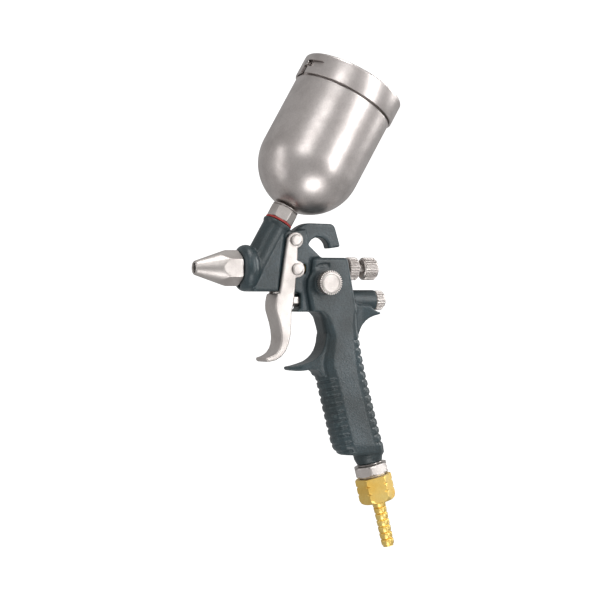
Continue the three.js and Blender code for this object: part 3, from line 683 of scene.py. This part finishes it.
@dataclass
class PaintCup:
    """Bead-blasted cup, its lid with bayonet slots, pins and the spigot below.

    Attributes:
        radius: Outside radius of the cup, in mm.
        wall: Wall thickness, in mm.
        pole: Height of the dome's pole above the gun's lip, in mm.
        straight: Length of the straight wall, in mm.
        lid_radius: Outside radius of the lid, in mm.
        lid_height: Height of the lid, in mm.
        slot_rise: Height of the slot's level leg above the pins' base, in mm.
        slot_turn: Length of the level leg, in degrees.
        pin_angle: Angle of the front pin round the cup, in degrees.
    """

    radius: float = 26.8
    wall: float = 1.1
    pole: float = 8.9
    straight: float = 38.0
    lid_radius: float = 27.8
    lid_height: float = 12.3
    slot_rise: float = 5.8
    slot_turn: float = 23.0
    pin_angle: float = 176.0

    @property
    def seam(self) -> float:
        """Height of the lid's lower edge."""
        return self.pole + self.radius + self.straight

    def _dome(self, radius: float, pole: float) -> list[tuple[float, float]]:
        """Meridian of a dome from its hole to the straight wall."""
        steps = 28
        return [(max(radius * math.sin(math.pi / 2 * i / steps), 3.8),
                 pole + radius * (1 - math.cos(math.pi / 2 * i / steps))) for i in range(steps + 1)]

    def build(self) -> None:
        """Makes every piece of the cup."""
        self._shell()
        self._lid()
        self._pins()
        self._spigot()

    def _shell(self) -> None:
        """The cup itself."""
        inner = self.radius - self.wall
        brim = rounded([(self.radius, self.seam - 1.4), (26.75, self.seam - 0.9), (26.3, self.seam - 0.5),
                        (26.3, self.seam + 9.5), (inner, self.seam + 9.5), (inner, self.seam - 1)], 0.3)
        profile = self._dome(self.radius, self.pole)[:-1] + [(self.radius, self.pole + self.radius)]
        profile += brim + self._dome(inner, self.pole + self.wall)[::-1]
        mesh = spun_mesh("cup_shell_spun", profile, CUP_LINE, 160, True)
        dress(new_piece("cup_shell_spun", mesh, 40.0), Finish.CUP_STEEL, Body.GUN, "cup_shell")

    def _cutter(self, start_deg: float, end_deg: float, low: float, high: float) -> bpy.types.Object:
        """A curved block round the cup's line that cuts a slot in the lid's skirt."""
        tool = bmesh.new()
        steps = max(int(abs(end_deg - start_deg)), 4)
        rows = []
        for i in range(steps + 1):
            angle = math.radians(start_deg + (end_deg - start_deg) * i / steps)
            ends = min(i, steps - i) / 2.0
            shrink = 0.55 * (high - low) / 2 * (1 - min(ends, 1.0)) if high - low < 5 else 0.0
            row = [tool.verts.new((r * math.cos(angle), -r * math.sin(angle), h))
                   for r, h in ((24.0, low + shrink), (30.0, low + shrink), (30.0, high - shrink),
                                (24.0, high - shrink))]
            rows.append(row)
        for a, b in zip(rows, rows[1:]):
            for i in range(4):
                tool.faces.new((a[i], a[(i + 1) % 4], b[(i + 1) % 4], b[i]))
        tool.faces.new(rows[0][::-1])
        tool.faces.new(rows[-1])
        bmesh.ops.recalc_face_normals(tool, faces=tool.faces)
        tool.transform(CUP_LINE.matrix())
        mesh = bpy.data.meshes.new("slot_cutter")
        tool.to_mesh(mesh)
        tool.free()
        cutter = bpy.data.objects.new("slot_cutter", mesh)
        bpy.context.scene.collection.objects.link(cutter)
        return cutter

    def _lid(self) -> None:
        """The lid, with a straight and a level leg cut for each pin."""
        top = self.seam + self.lid_height
        inner = self.lid_radius - self.wall
        profile = rounded([(0, top - 1.2), (inner, top - 1.2), (inner, self.seam),
                           (self.lid_radius, self.seam),
                           (self.lid_radius, top), (0, top)], 0.35)
        index = next(i for i, p in enumerate(profile) if p[1] > top - 0.5 and p[0] > 27)
        profile = profile[:index] + [
            (self.lid_radius - 1.3 * (1 - math.cos(a)), top - 1.3 * (1 - math.sin(a)))
            for a in (math.pi / 2 * i / 6 for i in range(7))] + [(26.0, top), (0, top)]
        mesh = spun_mesh("lid_spun", profile, CUP_LINE, 180)
        raw = bpy.data.objects.new("lid_raw", mesh)
        bpy.context.scene.collection.objects.link(raw)
        middle, half = self.seam + self.slot_rise, 1.95
        cutters = []
        for turn in (0.0, 180.0):
            cutters.append(self._cutter(self.pin_angle + turn - 4.05, self.pin_angle + turn + 4.05,
                                        self.seam - 2, middle + half))
            cutters.append(self._cutter(self.pin_angle + turn + 2, self.pin_angle + turn - self.slot_turn - 4,
                                        middle - half, middle + half))
        cutters.append(self._vent_hole(top))
        for cutter in cutters:
            cut = raw.modifiers.new("slot", "BOOLEAN")
            cut.operation = "DIFFERENCE"
            cut.solver = "EXACT"
            cut.object = cutter
        seen = raw.evaluated_get(bpy.context.evaluated_depsgraph_get())
        lid = bpy.data.meshes.new_from_object(seen)
        for spare in [raw, *cutters]:
            bpy.data.objects.remove(spare)
        dress(new_piece("lid_spun", lid, 30.0), Finish.CUP_STEEL, Body.LID, "lid")
        vent = spun_mesh("lid_vent_turned", rounded([
            (0.8, top - 1.9), (2, top - 1.9), (2, top + 0.2), (3.4, top + 0.3), (3, top + 1.3),
            (0.8, top + 1.3)],
            0.3, closed=True), CUP_LINE, 40, True)
        dress(new_piece("lid_vent_turned", vent), Finish.NICKEL, Body.LID, "lid_vent")

    def _vent_hole(self, top: float) -> bpy.types.Object:
        """A cutter for the vent bush's hole."""
        mesh = spun_mesh("vent_cutter", [(0, top - 3), (2.3, top - 3), (2.3, top + 2), (0, top + 2)],
                         CUP_LINE, 40)
        cutter = bpy.data.objects.new("vent_cutter", mesh)
        bpy.context.scene.collection.objects.link(cutter)
        return cutter

    def _pins(self) -> None:
        """The two bayonet pins."""
        for name, degrees in (("bayonet_pin_front", self.pin_angle),
                              ("bayonet_pin_rear", self.pin_angle + 180)):
            angle = math.radians(degrees)
            turn = Matrix.Translation((0, 0, self.seam + self.slot_rise)) \
                @ Matrix.Rotation(-angle, 4, "Z") @ Matrix.Rotation(math.radians(90), 4, "Y")
            still = Axis(HOOK_SEAT.x, HOOK_SEAT.z)
            mesh = spun_mesh(name + "_turned", rounded([
                (0, 26.4), (1.3, 26.4), (1.5, 27), (1.5, 28.4), (0, 28.6)], 0.3), still, 32)
            mesh.transform(CUP_LINE.matrix() @ turn @ Matrix.Scale(1 / MM, 4))
            dress(new_piece(name + "_turned", mesh), Finish.BRIGHT_STEEL, Body.GUN, name)

    def _spigot(self) -> None:
        """Hexagonal spigot, the thin washer above it and the fibre gasket below it."""
        spigot = spun_mesh("cup_spigot_turned", rounded([
            (2.6, -10), (4.4, -10), (4.4, 1.3), (6.6, 1.3), (7.2, 1.8), (7.2, 7.4), (6.6, 7.9), (3.6, 7.9),
            (3.6, 13.4),
            (2.6, 13.4)], 0.15, closed=True), CUP_LINE, 96, True, hexagon(12.4, -80.0))
        dress(new_piece("cup_spigot_turned", spigot, 24.0), Finish.NICKEL, Body.GUN, "cup_spigot")
        rings = (("cup_washer", 7.0, 3.8, 8.1, 8.6, Finish.CUP_STEEL),
                 ("cup_gasket", 7.2, 4.8, 0.0, 1.0, Finish.FIBRE))
        for name, outer, inner, low, high, finish in rings:
            mesh = spun_mesh(name + "_ring", rounded([(inner, low), (outer, low), (outer, high),
                                                      (inner, high)], 0.2,
                                                     closed=True), CUP_LINE, 72, True)
            dress(new_piece(name + "_ring", mesh), finish, Body.GUN, name)


@dataclass
class TriggerSet:
    """Trigger, its pivot screw and the studs that draw the needle.

    Attributes:
        head_radius: Radius of the pivot screw's head, in mm.
        stud_radius: Radius of the studs' heads, in mm.
    """

    head_radius: float = 3.0
    stud_radius: float = 3.1

    def build(self) -> None:
        """Makes the trigger and its fixings."""
        dress(cast_copy("trigger_casting", "trigger", 0.32, 4), Finish.NICKEL, Body.TRIGGER, "trigger")
        screw = spun_mesh("pivot_screw_turned", rounded([
            (0, -8.4), (2, -8.4), (2, 7.4), (self.head_radius, 7.4), (self.head_radius, 8.2), (2.2, 8.6),
            (0.4, 8.6),
            (0, 8.6)], 0.25), PIVOT_LINE, 64)
        dress(new_piece("pivot_screw_turned", screw), Finish.NICKEL, Body.GUN, "pivot_screw")
        nut = spun_mesh("pivot_nut_turned", rounded([(2.1, -8.4), (3.1, -8.4), (3.1, -7.5), (2.1, -7.5)],
                                                    0.2,
                                                    closed=True), PIVOT_LINE, 72, True, hexagon(5.6))
        dress(new_piece("pivot_nut_turned", nut, 24.0), Finish.NICKEL, Body.GUN, "pivot_nut")
        for name, side in (("yoke_stud_near", 1), ("yoke_stud_far", -1)):
            profile = [(0, 1.9), (1.5, 1.9), (1.5, 7.4), (self.stud_radius, 7.4), (self.stud_radius, 8),
                       (2.3, 8.5),
                       (0, 8.5)]
            stud = spun_mesh(name + "_turned", [(r, side * h) for r, h in rounded(profile, 0.3)], YOKE_LINE,
                             56)
            dress(new_piece(name + "_turned", stud), Finish.NICKEL, Body.TRIGGER, name)


@dataclass
class Knobs:
    """Side knob, needle knob and its collar, and the air valve's cap.

    Attributes:
        side_radius: Radius of the side knob, in mm.
        needle_radius: Radius of the needle knob, in mm.
        cap_radius: Radius of the valve cap, in mm.
        ridge_depth: Depth of the knurls, in mm.
        ridges: The knurl maker.
    """

    side_radius: float = 6.3
    needle_radius: float = 5.9
    cap_radius: float = 5.1
    ridge_depth: float = 0.8
    ridges: Optional[RidgeRing] = None

    def _knurled(self, name: str, profile: Profile, line: Axis, radius: float, middle: float, length: float,
                 count: int, body: Body, node: str, closed: bool = False) -> None:
        """A turned knob with a straight knurl round its rim."""
        turned = spun_mesh(name, rounded(profile, 0.35, closed), line, 96, closed)
        deep = self.ridge_depth / 2
        knurl = self.ridges.make(name + "_knurl", line, middle, Finish.NICKEL, count, radius - deep, length,
                                 math.pi * radius / count * 0.6, deep)
        dress(new_piece(name, joined(name, (turned, knurl))), Finish.NICKEL, body, node)

    def build(self) -> None:
        """Makes the knobs."""
        r, low = self.side_radius, self.ridge_depth - 0.15
        self._knurled("side_knob_knurled", [
            (0, 2), (1.9, 2), (1.9, 10.6), (5.5, 10.6), (r - low, 11.2), (r - low, 15.2), (5.4, 15.7),
            (4.6, 15.9),
            (4.2, 15.7), (0, 15.7)], SIDE_LINE, r, 13.2, 4.2, 34, Body.SIDE_KNOB, "side_knob")
        n = self.needle_radius
        self._knurled("needle_knob_knurled", [
            (1.3, 84.2), (2.3, 84.2), (2.3, 95.4), (4.2, 95.4), (4.4, 94.1), (5, 93.7), (n - low, 94.4),
            (n - low, 100.6), (4.8, 101.9), (3.2, 102.5), (0, 102.5), (0, 97), (1.3, 97)], NEEDLE_LINE, n,
            97.6, 6.2,
            30, Body.NEEDLE_KNOB, "needle_knob")
        self._knurled("needle_collar_knurled", [
            (2.5, 79.9), (3.9, 79.9), (3.9, 85.4), (5.35, 85.4), (5.35, 90.6), (4.9, 91.1), (2.5, 91.1)],
            NEEDLE_LINE, 6.0, 88.0, 4.8, 30, Body.GUN, "needle_collar", closed=True)
        c = self.cap_radius
        self._knurled("valve_cap_knurled", [
            (0, 93.4), (3.9, 93.4), (3.9, 101.2), (c - low, 101.2), (c - low, 105), (3.9, 106.4),
            (2.4, 106.9),
            (0, 106.9)], VALVE_LINE, c, 103.3, 3.9, 24, Body.VALVE_CAP, "valve_cap")
        nut = spun_mesh("valve_packing_nut_turned", rounded([
            (1.7, 54), (3.1, 54), (3.3, 54.3), (3.3, 57), (2.9, 57), (2.9, 60.4), (1.7, 60.4)], 0.15,
            closed=True),
            VALVE_LINE, 72, True, hexagon(5.8))
        dress(new_piece("valve_packing_nut_turned", nut, 24.0), Finish.NICKEL, Body.GUN,
              "valve_packing_nut")
        gland = spun_mesh("side_gland_turned", rounded([
            (2.1, 10.2), (4.6, 10.2), (4.6, 9.7), (3.1, 9.7), (3.1, 5), (2.1, 5)], 0.15, closed=True),
            SIDE_LINE, 64,
            True)
        dress(new_piece("side_gland_turned", gland), Finish.NICKEL, Body.GUN, "side_gland")


@dataclass
class HoseCoupling:
    """Steel nipple, brass coupling nut and barbed tail.

    Attributes:
        nipple_hex: Across flats of the nipple, in mm.
        nut_hex: Across flats of the nut, in mm.
        tail_radius: Largest radius of the barbs, in mm.
        barbs: Number of barbs.
        barb_pitch: Distance between barbs, in mm.
    """

    nipple_hex: float = 17.0
    nut_hex: float = 17.0
    tail_radius: float = 3.45
    barbs: int = 6
    barb_pitch: float = 3.48

    def build(self) -> None:
        """Makes the pieces of the coupling."""
        nipple = spun_mesh("inlet_nipple_turned", rounded([
            (2.6, -7.5), (4.4, -7.5), (4.4, 1.2), (8.6, 1.2), (9.6, 2), (9.6, 5.6), (8.6, 6.4), (6.9, 6.4),
            (6.9, 7.4),
            (6.6, 7.4), (6.6, 14.6), (2.6, 14.6)], 0.12, closed=True), INLET_LINE, 144, True,
            hexagon(self.nipple_hex, -66.0))
        dress(new_piece("inlet_nipple_turned", nipple, 24.0), Finish.NICKEL, Body.GUN, "inlet_nipple")
        nut = spun_mesh("coupling_nut_turned", rounded([
            (7, 7.7), (9.1, 7.7), (9.75, 8.3), (9.75, 11.1), (9.0, 11.7), (9.75, 12.3), (9.75, 15.1),
            (9.0, 15.7),
            (9.75, 16.3), (9.75, 18.8), (9, 20.6), (7.8, 21.4), (3.8, 21.4), (3.8, 18.6), (7, 18.6)], 0.25,
            closed=True), INLET_LINE, 216, True, hexagon(self.nut_hex, -103.0))
        dress(new_piece("coupling_nut_turned", nut, 24.0), Finish.BRASS, Body.COUPLING_NUT, "coupling_nut")
        profile: list[tuple[float, float]] = [(1.9, 16.2), (6.3, 16.2), (6.3, 18.2),
                                              (self.tail_radius, 18.3),
                                              (self.tail_radius, 24)]
        for i in range(self.barbs):
            low = 24.2 + i * self.barb_pitch
            profile += [(self.tail_radius - 0.7, low), (self.tail_radius, low + 0.45),
                        (self.tail_radius - 0.15, low + self.barb_pitch - 0.5),
                        (self.tail_radius - 0.7, low + self.barb_pitch - 0.15)]
        profile += [(2.8, 45.7), (1.9, 45.7)]
        tail = spun_mesh("hose_tail_turned", rounded(profile, 0.15, closed=True), INLET_LINE, 72, True)
        dress(new_piece("hose_tail_turned", tail), Finish.BRASS, Body.HOSE_TAIL, "hose_tail")
        washer = spun_mesh("inlet_washer_ring", rounded([(4.8, 0.25), (6.7, 0.25), (6.7, 0.95),
                                                         (4.8, 0.95)], 0.2,
                                                        closed=True), INLET_LINE, 64, True)
        dress(new_piece("inlet_washer_ring", washer), Finish.BRIGHT_STEEL, Body.GUN, "inlet_washer")


class HiddenParts:
    """CAD nodes that stay as they are, inside the gun, with a proper finish."""

    FINISHES = {
        "nozzle_gasket": Finish.FIBRE, "needle": Finish.BRIGHT_STEEL, "needle_packing": Finish.PTFE,
        "needle_packing_nut": Finish.BRASS, "needle_carrier": Finish.BRASS,
        "needle_spring": Finish.BRIGHT_STEEL,
        "valve_packing": Finish.PTFE, "valve_stem": Finish.BRIGHT_STEEL, "poppet_seal": Finish.RUBBER,
        "valve_spring": Finish.BRIGHT_STEEL, "side_o_ring": Finish.RUBBER, "coupling_seal": Finish.RUBBER,
        "cup_inner_nut": Finish.NICKEL, "lid_seal": Finish.RUBBER,
    }

    def build(self) -> None:
        """Dresses each node."""
        for name, finish in self.FINISHES.items():
            node = frame["nodes"][name]
            node.data.materials.clear()
            node.data.materials.append(finish.material())
            LOG.info("%s: kept, %s", name, finish.name.lower())


# ------------------------------------------------------------------ studio
@dataclass
class Studio:
    """Pale floor, soft lights and the camera.

    Attributes:
        azimuth: The camera's place round the gun, in degrees.
        elevation: Its height above the horizon, in degrees.
        distance: How far it is from the aim, in metres.
        aim: The point of the gun that it is centred on, in mm.
        span: Width of the view at the aim, in mm.
        floor_z: Height of the floor, in mm.
        flat: Radius of the floor's flat middle, in mm.
        curve: Radius of its curve up to the wall, in mm.
        wall: Height of the wall's top above the floor, in mm.
    """

    azimuth: float = -24.0
    elevation: float = 0.0
    distance: float = 1.25
    aim: tuple[float, float, float] = (59.0, 0.0, -16.3)
    span: float = 310.0
    floor_z: float = -320.0
    flat: float = 1800.0
    curve: float = 900.0
    wall: float = 3500.0

    def build(self) -> None:
        """Makes the floor, the world, the lights and the camera."""
        self._camera()
        self._floor()
        self._world()
        self._lights()

    def _at(self, x: float, y: float, z: float) -> Vector:
        """A point of the gun's frame in metres in the row frame."""
        return (Vector((x, y, z)) - HOOK_SEAT) * MM

    def _camera(self) -> None:
        """The camera at the viewing angle."""
        a, e = math.radians(self.azimuth), math.radians(self.elevation)
        back = Vector((math.sin(a) * math.cos(e), -math.cos(a) * math.cos(e), math.sin(e)))
        data = bpy.data.cameras.new("camera")
        data.sensor_width = 36.0
        data.lens = 36.0 * self.distance / (self.span * MM)
        camera = bpy.data.objects.new("camera", data)
        camera.location = self._at(*self.aim) + back * self.distance
        camera.rotation_euler = back.to_track_quat("Z", "Y").to_euler()
        bpy.context.scene.collection.objects.link(camera)
        bpy.context.scene.camera = camera

    def _floor(self) -> None:
        """A pale floor that curves up all round the gun."""
        rows = [(0.0, 0.0), (self.flat, 0.0)]
        for step in range(1, 13):
            t = math.pi / 2 * step / 12
            rows.append((self.flat + self.curve * math.sin(t), self.curve - self.curve * math.cos(t)))
        rows.append((self.flat + self.curve, self.wall))
        mesh = spun_mesh("sweep", [(r, self.floor_z + h) for r, h in rows], Axis(self.aim[0], 0), 96)
        mesh.flip_normals()
        sweep = new_piece("sweep", mesh, 60.0)
        shader = Shader.named("white_paper_sweep")
        shader.set(Roughness=0.9, Base_Color=linear("FCFCFC"), Emission_Color=linear("FFFFFF"),
                   Emission_Strength=0.7)
        sweep.data.materials.append(shader.material)
        sweep.visible_glossy = False
        sweep.visible_diffuse = False
        sweep.visible_shadow = False

    def _world(self) -> None:
        """A grey, even surround, and plain tones."""
        world = bpy.data.worlds.new("studio")
        world.use_nodes = True
        world.node_tree.nodes["Background"].inputs["Color"].default_value = linear("FFFFFF")
        world.node_tree.nodes["Background"].inputs["Strength"].default_value = 0.46
        bpy.context.scene.world = world
        bpy.context.scene.view_settings.view_transform = "Standard"

    def _lights(self) -> None:
        """Soft boxes round the gun: each one's turn, rise, distance, width, height and power."""
        for name, turn, rise, far, width, height, power in (
            ("key_softbox", 54.0, 16.0, 0.95, 0.14, 1.0, 4.6),
            ("front_fill", -12.0, 34.0, 1.2, 0.5, 0.4, 1.8),
            ("left_strip", -70.0, 6.0, 0.85, 0.16, 0.9, 1.2),
            ("rear_strip", 112.0, 22.0, 0.8, 0.2, 0.7, 3.0),
            ("top_softbox", 10.0, 78.0, 1.1, 0.5, 0.5, 5.0),
            ("table_bounce", 15.0, -48.0, 0.8, 0.5, 0.4, 2.2),
        ):
            data = bpy.data.lights.new(name, "AREA")
            data.shape = "RECTANGLE"
            data.size, data.size_y, data.energy = width, height, power
            a, e = math.radians(self.azimuth + turn), math.radians(rise)
            out = Vector((math.sin(a) * math.cos(e), -math.cos(a) * math.cos(e), math.sin(e)))
            light = bpy.data.objects.new(name, data)
            light.location = self._at(*self.aim) + out * far
            light.rotation_euler = out.to_track_quat("Z", "Y").to_euler()
            bpy.context.scene.collection.objects.link(light)


def main() -> None:
    """Builds the gun and the studio."""
    logging.basicConfig(level=logging.INFO, format="%(message)s")
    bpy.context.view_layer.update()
    for part in (GunCasting(), NozzleEnd(), PaintCup(), TriggerSet(), Knobs(ridges=RidgeRing()),
                 HoseCoupling(),
                 HiddenParts(), Studio()):
        part.build()
        LOG.info("built %s", type(part).__name__)


if __name__ == "__main__":
    main()
